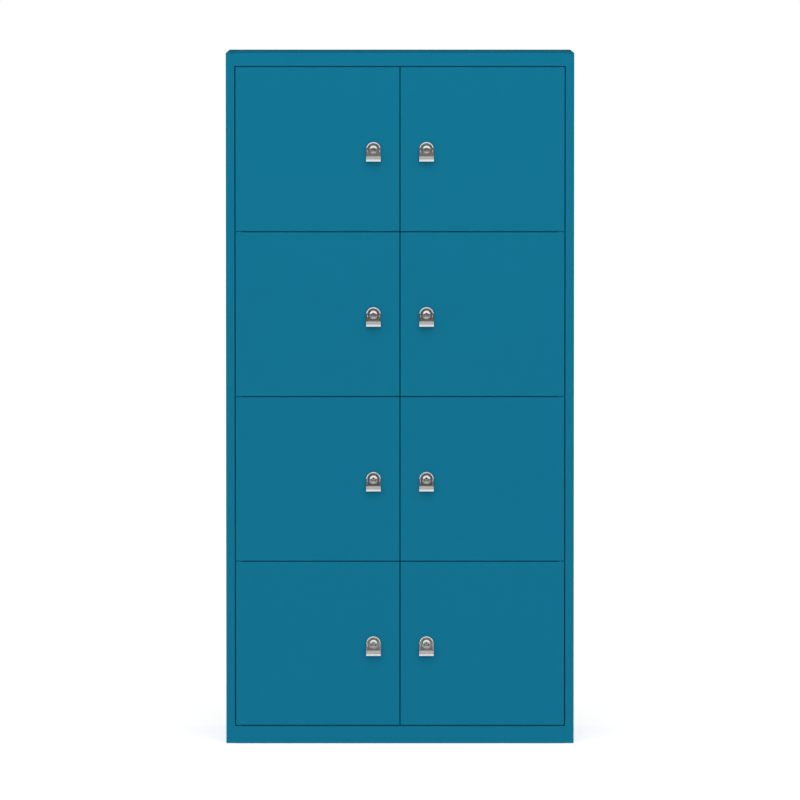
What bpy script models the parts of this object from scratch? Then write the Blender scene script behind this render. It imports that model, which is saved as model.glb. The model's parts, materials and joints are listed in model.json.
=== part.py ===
"""A free-standing steel locker cabinet: two columns of flush doors with key cam locks and finger pulls.

Metres, +Z up. The doors face -Y, and the origin lies on the floor in the middle of the bounding box.
Rows are counted from the top. SIDES gives each column's sign along X.
"""

import math

import bmesh
import bpy
from mathutils import Euler, Matrix, Vector

# Cabinet
WIDTH = 0.800
DEPTH = 0.470  # face of the front frame to the back, without the pulls
HEIGHT = 1.590
ROWS = 4
SHEET = 0.001  # carcass and door steel
FIT = 0.0003  # gap left between two seated pieces

# Front frame and rear edges
SIDE_FRAME = 0.020  # width of each upright beside the doors
TOP_RAIL = 0.030
BASE_RAIL = 0.040
REAR_RETURN = 0.020  # flange folded in along each rear edge
SIDE_LIFT = 0.0005  # the side panels end this much above the base rail

# Doors
DOOR_GAP = 0.002  # slit between a door and its neighbour or the frame
DOOR_DEPTH = 0.018
DOOR_FOLD = 0.0012  # softened outer edges
STOP_GAP = 0.0015  # back of a closed door to the centre stile

# Door pivots
HINGE_INSET = 0.009  # axis to the door's outer edge
HINGE_BACKSET = 0.0055  # axis to the door's face
PIN_RADIUS = 0.003
PIN_REACH = 0.006  # length of pin inside a door
PIN_HEAD = 0.003  # length of pin beyond the sheet that holds an end pin
TAB_PLAY = 0.0004  # hinge tab to the door above or below it
TAB_NOSE = 0.006  # hinge tab beyond the axis
RUNNING_FIT = 0.0001  # smallest radial play of anything that turns
ROUND_SIDES = 16

# Inside
STILE_WIDTH = 0.050
STILE_SHEET = 0.0015
SHELF_FRONT_FLANGE = 0.020
SHELF_FLANGE = 0.012  # at a shelf's back and ends

# Feet
FOOT_PROUD = 0.001  # floor to the base rail
FOOT_RADIUS = 0.016
FOOT_PAD = 0.006
FOOT_COLLAR = 0.005
FOOT_COLLAR_RADIUS = 0.008
FOOT_STUD_RADIUS = 0.004
FOOT_HEADROOM = 0.010  # top of the stud to the locker floor above it
FOOT_CHAMFER = 0.0015
FOOT_PLATE = 0.050  # square bracket that holds a foot
FOOT_PLATE_SHEET = 0.002

# Lock casting, measured from the lock's axis and from the door's face
LOCK_BACKSET = 0.060  # axis to the door's free edge
LOCK_WIDTH = 0.034
LOCK_DROP = 0.028  # axis to the bottom of the pull
LOCK_FIELD = 0.002  # plate inside the rim
LOCK_RIM = 0.005
LOCK_RIM_WALL = 0.002
RING_WALL = 0.0012
RING_PROUD = 0.0005  # ring beyond the plug's face
BARREL_WALL = 0.0028
ARCH_STEPS = 12

# Finger pull
PULL_REACH = 0.012
PULL_FACE = 0.007  # height of the lip
PULL_SWEEP = 0.0055  # height over which the plate sweeps out to the lip
PULL_WALL = 0.002
PULL_ROUND = 0.0015
SWEEP_STEPS = 5

# Lock plug and cam
PLUG_HEAD_RADIUS = 0.009
PLUG_HEAD_BACK = 0.0012
PLUG_FACE = 0.005
DISH_EDGE = 0.0008  # flat edge round the plug's dish
DISH_FLOOR_RADIUS = 0.0042
DISH_DEPTH = 0.0025
KEYWAY_WIDTH = 0.0018
KEYWAY_HEIGHT = 0.0068
KEYWAY_DEPTH = 0.006
SHAFT_RADIUS = 0.0065
TAIL = 0.008  # square end that drives the cam
TAIL_PROUD = 0.0005
CAM_CATCH = 0.010  # length of cam behind the centre stile when locked
CAM_WIDTH = 0.014
CAM_HUB_RIM = 0.003  # hub beyond the arm's sides
CAM_SHEET = 0.002
CAM_CLEARANCE = 0.002  # back of the centre stile to the cam
CAM_PLAY = 0.0005  # end of the lock's barrel to the cam
CAM_STEPS = 8

# Mesh making
WELD = 1e-6
TURN_WELD = 1e-5
SMOOTH_ANGLE = math.radians(30)

# Colours, linear
PAINT = (0.006, 0.175, 0.283)
NICKEL = (0.62, 0.61, 0.60)
ZINC = (0.45, 0.46, 0.47)
BLACK = (0.015, 0.015, 0.016)

# Planes and lines of the carcass
FRONT = -(DEPTH + PULL_REACH) / 2 + PULL_REACH
BACK = FRONT + DEPTH
SIDES = {"left": -1, "right": 1}
HALF_WIDTH = WIDTH / 2
INNER_HALF = HALF_WIDTH - SHEET - FIT
OPENING_HALF = HALF_WIDTH - SIDE_FRAME
FRONT_HALF = OPENING_HALF - FIT
REAR_HALF = HALF_WIDTH - REAR_RETURN - FIT
BASE_BOTTOM = FOOT_PROUD
SIDE_BOTTOM = BASE_BOTTOM + SIDE_LIFT
OPENING_BOTTOM = BASE_BOTTOM + BASE_RAIL
OPENING_TOP = HEIGHT - TOP_RAIL
SIDE_TOP = HEIGHT - SHEET - FIT
INNER_BACK = BACK - SHEET - FIT
BACK_PANEL_FRONT = INNER_BACK - SHEET
LIP_BACK = FRONT + DOOR_DEPTH
STILE_FRONT = FRONT + DOOR_DEPTH + STOP_GAP
STILE_BACK = STILE_FRONT + STILE_SHEET
SHELF_FRONT = STILE_BACK + FIT

# Lines of the doors and locks
DOOR_WIDTH = OPENING_HALF - 1.5 * DOOR_GAP
DOOR_HEIGHT = (OPENING_TOP - OPENING_BOTTOM - (ROWS + 1) * DOOR_GAP) / ROWS
ROW_PITCH = DOOR_HEIGHT + DOOR_GAP
HINGE_X = OPENING_HALF - DOOR_GAP - HINGE_INSET
HINGE_Y = FRONT + HINGE_BACKSET
LOCK_X = DOOR_GAP / 2 + LOCK_BACKSET
CAM_FRONT = STILE_BACK + CAM_CLEARANCE - FRONT
CAM_BACK = CAM_FRONT + CAM_SHEET
CAM_LENGTH = LOCK_X - STILE_WIDTH / 2 + CAM_CATCH
BARREL_END = CAM_FRONT - CAM_PLAY
RING_REACH = PLUG_FACE + RING_PROUD
LIP_TOP = LOCK_DROP - PULL_FACE
PULL_START = LIP_TOP - PULL_SWEEP

# Turns that lay an outline drawn in X and Y onto another plane, and the axis across that plane
FACING_FRONT = Euler((math.pi / 2, 0, 0))
FACING_SIDE = Euler((math.pi / 2, 0, math.pi / 2))
PLANES = {"XZ": (FACING_FRONT, 1), "YZ": (FACING_SIDE, 0)}


def running_bore(radius):
    """Radius of a faceted hole whose flats clear a turning shaft by RUNNING_FIT."""
    return (radius + RUNNING_FIT) / math.cos(math.pi / ROUND_SIDES)


def barrel_radius():
    return running_bore(SHAFT_RADIUS) + BARREL_WALL


def boundary(level):
    """Height of the slit below door row `level`: 0 is the slit over the top door."""
    return OPENING_BOTTOM + DOOR_GAP / 2 + (ROWS - level) * ROW_PITCH


def door_middle(row):
    return boundary(row) + ROW_PITCH / 2


def clear_scene():
    for obj in list(bpy.data.objects):
        bpy.data.objects.remove(obj)


def make_material(name, colour, roughness, metallic):
    material = bpy.data.materials.new(name)
    material.use_nodes = True
    shader = material.node_tree.nodes["Principled BSDF"]
    shader.inputs["Base Color"].default_value = (*colour, 1)
    shader.inputs["Roughness"].default_value = roughness
    shader.inputs["Metallic"].default_value = metallic
    return material


def mesh_of(bm):
    mesh = bpy.data.meshes.new("solid")
    bm.to_mesh(mesh)
    bm.free()
    return mesh


def box(x, y, z):
    """A closed box between two values along each axis, given in either order."""
    bm = bmesh.new()
    bmesh.ops.create_cube(bm, size=1)
    for vert in bm.verts:
        vert.co = [max(ends) if side > 0 else min(ends) for side, ends in zip(vert.co, (x, y, z))]
    return mesh_of(bm)


def rod(radius, start, end, centre, axis="Z"):
    """A closed round bar between two values along an axis, through the point centre."""
    bm = bmesh.new()
    bmesh.ops.create_cone(
        bm, cap_ends=True, segments=ROUND_SIDES, radius1=radius, radius2=radius, depth=abs(end - start)
    )
    middle = Vector(centre)
    middle["XYZ".index(axis)] = (start + end) / 2
    turn = FACING_FRONT.to_matrix().to_4x4() if axis == "Y" else Matrix.Identity(4)
    bmesh.ops.transform(bm, matrix=Matrix.Translation(middle) @ turn, verts=bm.verts)
    return mesh_of(bm)


def evaluated(obj):
    """The object's mesh with its modifiers applied and its place kept, in place of the object."""
    bpy.context.view_layer.update()
    graph = bpy.context.evaluated_depsgraph_get()
    mesh = bpy.data.meshes.new_from_object(obj.evaluated_get(graph))
    mesh.transform(obj.matrix_world)
    bpy.data.objects.remove(obj)
    return mesh


def helper(data):
    obj = bpy.data.objects.new("helper", data)
    obj.hide_render = True
    obj.display_type = "WIRE"
    cutters.objects.link(obj)
    return obj


def prism(outlines, near, far, plane):
    """Flat outlines, the later ones holes in the first, made thick from near to far across their plane."""
    curve = bpy.data.curves.new("outline", "CURVE")
    curve.dimensions = "2D"
    curve.fill_mode = "BOTH"
    curve.extrude = abs(far - near) / 2
    for points in outlines:
        spline = curve.splines.new("POLY")
        spline.points.add(len(points) - 1)
        for point, place in zip(spline.points, points):
            point.co = (*place, 0, 1)
        spline.use_cyclic_u = True
    obj = helper(curve)
    obj.rotation_euler, across = PLANES[plane]
    obj.location[across] = (near + far) / 2
    bm = bmesh.new()
    bm.from_mesh(evaluated(obj))
    bmesh.ops.remove_doubles(bm, verts=bm.verts, dist=WELD)
    bmesh.ops.recalc_face_normals(bm, faces=bm.faces)
    return mesh_of(bm)


def turned(profile, turn=None):
    """A profile of (radius, height) points, from the axis over the outside to the axis, turned about Z."""
    mesh = bpy.data.meshes.new("profile")
    edges = [(i, i + 1) for i in range(len(profile) - 1)]
    mesh.from_pydata([(radius, 0, height) for radius, height in profile], edges, [])
    obj = helper(mesh)
    screw = obj.modifiers.new("turn", "SCREW")
    screw.steps = screw.render_steps = ROUND_SIDES
    screw.use_merge_vertices = True
    screw.merge_threshold = TURN_WELD
    if turn:
        obj.rotation_euler = turn
    return evaluated(obj)


def combine(base, add=(), keep=(), cut=()):
    """One closed mesh: base with each piece of add joined on, held inside each keep, less each cut."""
    target = helper(base)
    tools = []
    for operation, meshes in (("UNION", add), ("INTERSECT", keep), ("DIFFERENCE", cut)):
        for mesh in meshes:
            tools.append(helper(mesh))
            modifier = target.modifiers.new(operation.lower(), "BOOLEAN")
            modifier.operation = operation
            modifier.object = tools[-1]
    mesh = evaluated(target)
    for tool in tools:
        bpy.data.objects.remove(tool)
    return mesh


def part(name, mesh, material, parent=None, location=(0, 0, 0)):
    """A named piece. Its location is measured from its parent's origin."""
    obj = bpy.data.objects.new(name, mesh)
    if not mesh.materials:
        mesh.materials.append(material)
        mesh.shade_smooth()
        mesh.set_sharp_from_angle(angle=SMOOTH_ANGLE)
    obj.parent = parent
    obj.location = location
    cabinet.objects.link(obj)
    return obj


def side_panel(sign):
    """Outer sheet with its front upright, the lip behind that, its rear return and the hinge tabs."""
    outer = sign * HALF_WIDTH
    tall = (SIDE_BOTTOM, SIDE_TOP)
    flange = box((outer, sign * OPENING_HALF), (FRONT, FRONT + SHEET), tall)
    lip = box((sign * (OPENING_HALF + SHEET), sign * OPENING_HALF), (FRONT, LIP_BACK), tall)
    rear = box((outer, outer - sign * REAR_RETURN), (BACK - SHEET, BACK), tall)
    tabs = []
    holes = []
    for level in range(1, ROWS):
        middle = boundary(level)
        half = DOOR_GAP / 2 - TAB_PLAY
        tabs.append(
            box(
                (sign * (OPENING_HALF + SHEET / 2), sign * (HINGE_X - TAB_NOSE)),
                (HINGE_Y - PIN_RADIUS - SHEET, HINGE_Y + TAB_NOSE),
                (middle - half, middle + half),
            )
        )
        holes.append(pin_hole(sign, middle))
    sheet = box((outer, outer - sign * SHEET), (FRONT, BACK), tall)
    return combine(sheet, add=[flange, lip, rear, *tabs], cut=holes)


def pin_hole(sign, height):
    """Cutter for the seat of a hinge pin in a sheet at this height."""
    reach = SHEET + DOOR_GAP
    return rod(running_bore(PIN_RADIUS), height - reach, height + reach, (sign * HINGE_X, HINGE_Y, 0))


def top_panel():
    """Sheet over the side panels, with its front rail, the lip behind that and its rear flange."""
    sheet = box((-HALF_WIDTH, HALF_WIDTH), (FRONT, BACK), (HEIGHT - SHEET, HEIGHT))
    rail = box((-FRONT_HALF, FRONT_HALF), (FRONT, FRONT + SHEET), (OPENING_TOP, HEIGHT))
    lip = box((-FRONT_HALF, FRONT_HALF), (FRONT, LIP_BACK), (OPENING_TOP, OPENING_TOP + SHEET))
    rear = box((-REAR_HALF, REAR_HALF), (BACK - SHEET, BACK), (OPENING_TOP, HEIGHT))
    holes = [pin_hole(sign, OPENING_TOP + SHEET / 2) for sign in SIDES.values()]
    return combine(sheet, add=[rail, lip, rear], cut=holes)


def base_panel():
    """Locker floor with the base rail below its front edge, a rear flange and a bracket for each foot."""
    floor = (OPENING_BOTTOM - SHEET, OPENING_BOTTOM)
    fold = SHEET + FIT
    main = box((-INNER_HALF, INNER_HALF), (LIP_BACK + FIT, INNER_BACK), floor)
    front_tongue = box((-FRONT_HALF, FRONT_HALF), (FRONT, LIP_BACK + fold), floor)
    rear_tongue = box((-REAR_HALF, REAR_HALF), (INNER_BACK - fold, BACK), floor)
    rail = box((-FRONT_HALF, FRONT_HALF), (FRONT, FRONT + SHEET), (BASE_BOTTOM, OPENING_BOTTOM))
    lip = box((-FRONT_HALF, FRONT_HALF), (FRONT, LIP_BACK), (BASE_BOTTOM, BASE_BOTTOM + SHEET))
    rear = box((-REAR_HALF, REAR_HALF), (BACK - SHEET, BACK), (BASE_BOTTOM, OPENING_BOTTOM))
    plates = []
    holes = [pin_hole(sign, OPENING_BOTTOM - SHEET / 2) for sign in SIDES.values()]
    half = FOOT_PLATE / 2
    seat = FOOT_PAD + FOOT_COLLAR + FIT
    top = seat + FOOT_PLATE_SHEET
    for _, x, y, wall in foot_places():
        far_edge = y + math.copysign(half, y - wall)
        plates.append(box((x - half, x + half), (wall, far_edge), (seat, top)))
        holes.append(rod(FOOT_STUD_RADIUS + FIT, seat - FIT, top + FIT, (x, y, 0)))
    return combine(main, add=[front_tongue, rear_tongue, rail, lip, rear, *plates], cut=holes)


def foot_places():
    """Name and place of each foot near its corner, and the middle of the wall that its bracket joins."""
    inset = FOOT_PLATE / 2
    x = min(FRONT_HALF, REAR_HALF) - inset
    rows = {
        "front": (LIP_BACK + FIT + inset, FRONT + SHEET / 2),
        "rear": (BACK - SHEET - inset, BACK - SHEET / 2),
    }
    for end, (y, wall) in rows.items():
        for side, sign in SIDES.items():
            yield f"{end}_{side}", sign * x, y, wall


def levelling_foot():
    """Pad, collar and threaded stud, turned in one."""
    collar_top = FOOT_PAD + FOOT_COLLAR
    stud_top = OPENING_BOTTOM - SHEET - FOOT_HEADROOM
    return turned(
        [
            (0, stud_top),
            (FOOT_STUD_RADIUS, stud_top),
            (FOOT_STUD_RADIUS, collar_top),
            (FOOT_COLLAR_RADIUS, collar_top),
            (FOOT_COLLAR_RADIUS, FOOT_PAD),
            (FOOT_RADIUS - FOOT_CHAMFER, FOOT_PAD),
            (FOOT_RADIUS, FOOT_PAD - FOOT_CHAMFER),
            (FOOT_RADIUS, 0),
            (0, 0),
        ]
    )


def back_panel():
    return box((-INNER_HALF, INNER_HALF), (BACK_PANEL_FRONT, INNER_BACK), (OPENING_BOTTOM + FIT, SIDE_TOP))


def centre_stile():
    """Flat bar that stops the doors where they meet. The cams turn in behind it."""
    half = STILE_WIDTH / 2
    return box((-half, half), (STILE_FRONT, STILE_BACK), (OPENING_BOTTOM + FIT, SIDE_TOP))


def centre_partition():
    half = SHEET / 2
    return box((-half, half), (STILE_BACK + FIT, BACK_PANEL_FRONT - FIT), (OPENING_BOTTOM + FIT, SIDE_TOP))


def shelf(sign):
    """Floor of a locker and ceiling of the next, as a tray turned upside down with its top at height 0."""
    wide = (sign * (SHEET / 2 + FIT), sign * INNER_HALF)
    deep = (SHELF_FRONT, BACK_PANEL_FRONT - FIT)
    bm = bmesh.new()
    bm.from_mesh(box(wide, deep, (-SHELF_FLANGE, 0)))
    under = min(bm.faces, key=lambda face: face.calc_center_median().z)
    edges = bmesh.ops.inset_individual(bm, faces=[under], thickness=SHEET, use_even_offset=True)["faces"]
    front = min(edges, key=lambda face: face.calc_center_median().y)
    for face, height in ((under, -SHEET), (front, -SHELF_FRONT_FLANGE)):
        for moved in bmesh.ops.extrude_discrete_faces(bm, faces=[face])["faces"]:
            for vert in moved.verts:
                vert.co.z = height
    return mesh_of(bm)


def hinge_pin(low, high):
    """Plain pin between two heights, on the axis x = y = 0."""
    return rod(PIN_RADIUS, low, high, (0, 0, 0))


def door_panel(sign):
    """Double-skinned door with its origin on the hinge axis, at mid height."""
    outer = sign * HINGE_INSET
    face = -HINGE_BACKSET
    half = DOOR_HEIGHT / 2
    bm = bmesh.new()
    bm.from_mesh(box((outer, outer - sign * DOOR_WIDTH), (face, face + DOOR_DEPTH), (-half, half)))
    bmesh.ops.bevel(bm, geom=bm.edges, offset=DOOR_FOLD, segments=1, affect="EDGES")
    skins = helper(mesh_of(bm))
    solidify = skins.modifiers.new("skins", "SOLIDIFY")
    solidify.thickness = SHEET
    solidify.offset = -1
    solidify.use_even_offset = True
    pivot = rod(running_bore(PIN_RADIUS), -half - SHEET, half + SHEET, (0, 0, 0))
    back = face + DOOR_DEPTH
    lock = rod(barrel_radius() + FIT, face - SHEET, back + SHEET, (lock_offset(sign), 0, 0), "Y")
    return combine(evaluated(skins), cut=[pivot, lock])


def lock_offset(sign):
    """Lock axis from the hinge axis along X."""
    return sign * (LOCK_X - HINGE_X)


def arch(radius, drop):
    """Outline with a round top about the lock's axis and straight sides down to drop."""
    turns = [math.pi * i / ARCH_STEPS for i in range(ARCH_STEPS + 1)]
    top = [(radius * math.cos(turn), radius * math.sin(turn)) for turn in turns]
    return [*top, (-radius, -drop), (radius, -drop)]


def sweep(reach, start, end):
    """Points (y, z) along the pull's hollow front: out from the plate at -start to reach at -end."""
    points = []
    for i in range(SWEEP_STEPS + 1):
        turn = math.pi / 2 * i / SWEEP_STEPS
        out = LOCK_FIELD + (reach - LOCK_FIELD) * (1 - math.cos(turn))
        points.append((-out, -start - (end - start) * math.sin(turn)))
    return points


def lock_housing():
    """Casting with a rimmed plate, ring, barrel and finger pull: y = 0 on the door's face."""
    half = LOCK_WIDTH / 2
    inner = half - LOCK_RIM_WALL
    over = LOCK_WIDTH  # far enough to run past the casting
    below = -LOCK_DROP - over
    ahead = -PULL_REACH - over
    hollow = sweep(PULL_REACH - PULL_ROUND, PULL_START, LIP_TOP)
    cheek = [(out, up) for out, up in hollow if out < -LOCK_RIM]
    lip = [(-PULL_REACH, -LIP_TOP - PULL_ROUND), (-PULL_REACH, below)]
    side_view = [(over, over), (-LOCK_RIM, over), (-LOCK_RIM, cheek[0][1]), *cheek, *lip, (over, below)]
    front_air = [(-LOCK_FIELD, over), *hollow, (ahead, -LIP_TOP), (ahead, over)]
    finger_top = sweep(PULL_REACH - PULL_WALL, PULL_START + PULL_WALL, LIP_TOP + PULL_WALL)
    finger_room = [*finger_top, (PULL_WALL - PULL_REACH, below), (-LOCK_FIELD, below)]
    outside = prism([arch(half, LOCK_DROP)], -FIT, ahead, "XZ")
    inside = prism([arch(inner, LOCK_DROP)], over, ahead + over / 2, "XZ")
    casting = combine(outside, keep=[prism([side_view], -over, over, "YZ")])
    recess = combine(inside, keep=[prism([front_air], -over, over, "YZ")])
    plate = combine(casting, cut=[recess, prism([finger_room], -inner, inner, "YZ")])
    axis = (0, 0, 0)
    root = -(FIT + LOCK_FIELD) / 2
    head_bore = running_bore(PLUG_HEAD_RADIUS)
    ring = rod(head_bore + RING_WALL, root, -RING_REACH, axis, "Y")
    barrel = rod(barrel_radius(), BARREL_END, root, axis, "Y")
    head_room = rod(head_bore, FIT - PLUG_HEAD_BACK, -RING_REACH - FIT, axis, "Y")
    shaft_room = rod(running_bore(SHAFT_RADIUS), BARREL_END + FIT, -RING_REACH, axis, "Y")
    return combine(plate, add=[ring, barrel], cut=[head_room, shaft_room])


def lock_plug():
    """Turning core about the lock's axis: dished face with a keyway, shaft and square tail."""
    dish_floor = PLUG_FACE - DISH_DEPTH
    shaft_end = BARREL_END + CAM_PLAY / 2
    body = turned(
        [
            (0, dish_floor),
            (DISH_FLOOR_RADIUS, dish_floor),
            (PLUG_HEAD_RADIUS - DISH_EDGE, PLUG_FACE),
            (PLUG_HEAD_RADIUS, PLUG_FACE),
            (PLUG_HEAD_RADIUS, PLUG_HEAD_BACK),
            (SHAFT_RADIUS, PLUG_HEAD_BACK),
            (SHAFT_RADIUS, -shaft_end),
            (0, -shaft_end),
        ],
        FACING_FRONT,
    )
    half = TAIL / 2
    tail = box((-half, half), (BARREL_END, CAM_BACK + TAIL_PROUD), (-half, half))
    wide = KEYWAY_WIDTH / 2
    high = KEYWAY_HEIGHT / 2
    keyway = box((-wide, wide), (-PLUG_FACE, KEYWAY_DEPTH - dish_floor), (-high, high))
    return combine(body, add=[tail], cut=[keyway])


def arc(centre, radius, start, end, steps):
    """Points on an arc, from the start angle to the end angle in radians."""
    turns = [start + (end - start) * i / steps for i in range(steps + 1)]
    return [(radius * math.cos(turn), centre + radius * math.sin(turn)) for turn in turns]


def lock_cam():
    """Latch arm that hangs from the plug's tail when the lock is open, y = 0 on its front face."""
    half = CAM_WIDTH / 2
    hub_radius = half + CAM_HUB_RIM
    shoulder = math.asin(half / hub_radius)
    hub = arc(0, hub_radius, shoulder - math.pi / 2, 1.5 * math.pi - shoulder, CAM_STEPS)
    tip = arc(half - CAM_LENGTH, half, math.pi, 2 * math.pi, CAM_STEPS)
    eye = TAIL / 2 + FIT
    hole = [(-eye, -eye), (eye, -eye), (eye, eye), (-eye, eye)]
    return prism([[*hub, *tip], hole], 0, CAM_SHEET, "XZ")


def build_carcass():
    part("top_panel", top_panel(), paint)
    part("base_panel", base_panel(), paint)
    part("back_panel", back_panel(), paint)
    part("centre_stile", centre_stile(), paint)
    part("centre_partition", centre_partition(), paint)
    foot = levelling_foot()
    for name, x, y, _ in foot_places():
        part(f"levelling_foot_{name}", foot, black, location=(x, y, 0))


def build_column(side, sign):
    part(f"{side}_side_panel", side_panel(sign), paint)
    shelf_mesh = shelf(sign)
    for level in range(1, ROWS):
        part(f"shelf_{side}_{level}", shelf_mesh, paint, location=(0, 0, boundary(level) + SHEET / 2))
    reach = DOOR_GAP / 2 + PIN_REACH
    sheet_side = DOOR_GAP / 2 + SHEET + PIN_HEAD
    pins = {0: hinge_pin(-reach, sheet_side), ROWS: hinge_pin(-sheet_side, reach)}
    middle_pin = hinge_pin(-reach, reach)
    for level in range(ROWS + 1):
        pin = pins.get(level, middle_pin)
        place = (sign * HINGE_X, HINGE_Y, boundary(level))
        part(f"hinge_pin_{side}_{level + 1}", pin, zinc, location=place)


def build_doors(side, sign, housing, plug, cam):
    door_mesh = door_panel(sign)
    lock_place = (lock_offset(sign), -HINGE_BACKSET, 0)
    for row in range(1, ROWS + 1):
        place = (sign * HINGE_X, HINGE_Y, door_middle(row))
        door = part(f"door_panel_{side}_{row}", door_mesh, paint, location=place)
        part(f"lock_housing_{side}_{row}", housing, nickel, parent=door, location=lock_place)
        core = part(f"lock_plug_{side}_{row}", plug, nickel, parent=door, location=lock_place)
        part(f"lock_cam_{side}_{row}", cam, zinc, parent=core, location=(0, CAM_FRONT, 0))


clear_scene()
cabinet = bpy.data.collections.new("locker_cabinet")
cutters = bpy.data.collections.new("cutters")
bpy.context.scene.collection.children.link(cabinet)
bpy.context.scene.collection.children.link(cutters)

paint = make_material("blue_powder_coat", PAINT, 0.5, 0)
nickel = make_material("bright_nickel", NICKEL, 0.18, 1)
zinc = make_material("zinc_plate", ZINC, 0.35, 1)
black = make_material("black_nylon", BLACK, 0.6, 0)

build_carcass()
housing_mesh = lock_housing()
plug_mesh = lock_plug()
cam_mesh = lock_cam()
for column, sign_of_x in SIDES.items():
    build_column(column, sign_of_x)
    build_doors(column, sign_of_x, housing_mesh, plug_mesh, cam_mesh)
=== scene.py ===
import json
import math

import bmesh
import bpy
from mathutils import Matrix, Vector


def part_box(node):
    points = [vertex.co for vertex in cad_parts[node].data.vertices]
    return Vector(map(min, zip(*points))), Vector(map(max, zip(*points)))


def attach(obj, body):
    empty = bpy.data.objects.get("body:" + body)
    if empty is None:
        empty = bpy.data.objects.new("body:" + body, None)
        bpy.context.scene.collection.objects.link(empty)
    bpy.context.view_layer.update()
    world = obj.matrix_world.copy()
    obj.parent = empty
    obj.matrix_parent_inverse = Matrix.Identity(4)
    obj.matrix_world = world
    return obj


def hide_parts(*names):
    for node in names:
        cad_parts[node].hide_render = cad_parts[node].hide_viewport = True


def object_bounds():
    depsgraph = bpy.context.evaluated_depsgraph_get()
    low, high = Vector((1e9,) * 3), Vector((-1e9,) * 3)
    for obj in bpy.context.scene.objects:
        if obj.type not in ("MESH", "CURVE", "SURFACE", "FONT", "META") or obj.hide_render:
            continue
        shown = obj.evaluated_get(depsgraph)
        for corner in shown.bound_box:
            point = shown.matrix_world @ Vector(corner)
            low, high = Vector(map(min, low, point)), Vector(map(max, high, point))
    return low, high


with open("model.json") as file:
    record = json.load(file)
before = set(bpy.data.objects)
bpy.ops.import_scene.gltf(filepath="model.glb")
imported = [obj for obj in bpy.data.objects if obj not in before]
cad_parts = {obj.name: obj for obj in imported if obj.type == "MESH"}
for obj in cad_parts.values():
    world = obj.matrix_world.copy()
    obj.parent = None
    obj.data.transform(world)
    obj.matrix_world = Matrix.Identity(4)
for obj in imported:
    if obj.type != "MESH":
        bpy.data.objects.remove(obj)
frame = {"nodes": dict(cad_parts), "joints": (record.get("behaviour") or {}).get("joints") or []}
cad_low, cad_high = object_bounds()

# Metres, in the cabinet's own frame: +Z up, the doors face -Y.
# Lock pieces are drawn about the lock's axis. "out" is the distance in front of the door's face.

SIDES = {"left": -1, "right": 1}
ROWS = (1, 2, 3, 4)
FINISH = "_finish"  # a material is named for the record's slot, with this after it

# Finishes: linear colours, noise in features a metre, roughness from and to, bump strength and depth
PAINT_DARK = (0.0008, 0.1675, 0.2805)
PAINT_LIGHT = (0.0014, 0.1755, 0.2930)
PAINT_DRIFT = 2.5
PAINT_SHEEN = 35.0
PAINT_ROUGHNESS = (0.40, 0.48)
PAINT_PEEL = 700.0
PAINT_BUMP = (0.35, 0.0003)
PAINT_SPECULAR = 0.07
NICKEL_DARK = (0.80, 0.79, 0.78)
NICKEL_LIGHT = (0.88, 0.87, 0.86)
NICKEL_CLOUD = 120.0
NICKEL_LINES = 700.0
NICKEL_LINE_STRETCH = (1, 1, 0.12)
NICKEL_ROUGHNESS = (0.08, 0.15)
NICKEL_RIPPLE = 420.0
NICKEL_BUMP = (0.05, 0.0001)
ZINC_DARK = (0.42, 0.43, 0.44)
ZINC_LIGHT = (0.56, 0.56, 0.55)
ZINC_SPANGLE = 420.0
ZINC_CLOUD = 260.0
ZINC_ROUGHNESS = (0.34, 0.50)
ZINC_GRAIN = 1500.0
ZINC_BUMP = (0.10, 0.0001)
ZINC_METALLIC = 0.55
NYLON_DARK = (0.012, 0.012, 0.013)
NYLON_LIGHT = (0.022, 0.022, 0.023)
NYLON_CLOUD = 300.0
NYLON_SHEEN = 90.0
NYLON_ROUGHNESS = (0.48, 0.62)
NYLON_GRAIN = 1800.0
NYLON_BUMP = (0.20, 0.0002)
NYLON_SPECULAR = 0.20
FLOOR_COLOUR = (0.80, 0.80, 0.80)
FEW_OCTAVES = 2.0
SOME_OCTAVES = 3.0
MANY_OCTAVES = 4.0
NOISE_SPREAD = (0.3, 0.7)  # most of a noise's values lie between these

# Folded sheet
SHEET_EDGE = 0.00035  # softened edge of the carcass sheet
DOOR_FOLD = 0.0012
DOOR_FOLD_STEPS = 4
SEAM_INSET = 0.014  # door's edge to the seam of its inner skin
SEAM_WIDTH = 0.0007
SEAM_DEPTH = 0.0007
PIVOT_HOLE = 0.0032
PIVOT_DEPTH = 0.008
LOCK_HOLE = 0.0098

# Lock casting
RIM_STEPS = (
    (0.0000, 0.0000),
    (0.0000, 0.0039),
    (0.0002, 0.0045),
    (0.0005, 0.0049),
    (0.0008, 0.0050),
    (0.0010, 0.0049),
    (0.0032, 0.0034),
    (0.0034, 0.0031),
    (0.0035, 0.0024),
    (0.0037, 0.0021),
    (0.0040, 0.0020),
)  # inset from the outline, out
ARCH_STEPS = 40
PLATE_DROP = 0.0230  # the plate ends inside the pull
FIELD_OUT = 0.0020
PULL_TOP = -0.0120
PULL_SINK = 0.0002  # how far the pull's faces lie from the plate's, so that none coincide
PULL_EDGE = 0.0004
PULL_WALL = 0.0020
PULL_ROOT = 0.0014  # fillet where the pull leaves the plate
LEDGE = (0.0086, -0.0162, 0.0008)  # out, up, round
NOSE = (0.01200, -0.0224, 0.0010)  # out, up, round
LIP_OUT = 0.0100
LIP_EDGE = 0.0006
LIP_WALL = 0.0012
ROOF_UP = -0.0185
ROOF_ROUND = 0.0012
RING_FOOT = 0.0112
RING_SHOULDER = 0.0107
RING_BORE = 0.00935
RING_OUT = 0.0055
RING_ROUND = 0.0006
RING_ROOT = 0.0008
BARREL_RADIUS = 0.0095
BARREL_ROOT = 0.0091
BARREL_END = 0.0225
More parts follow.
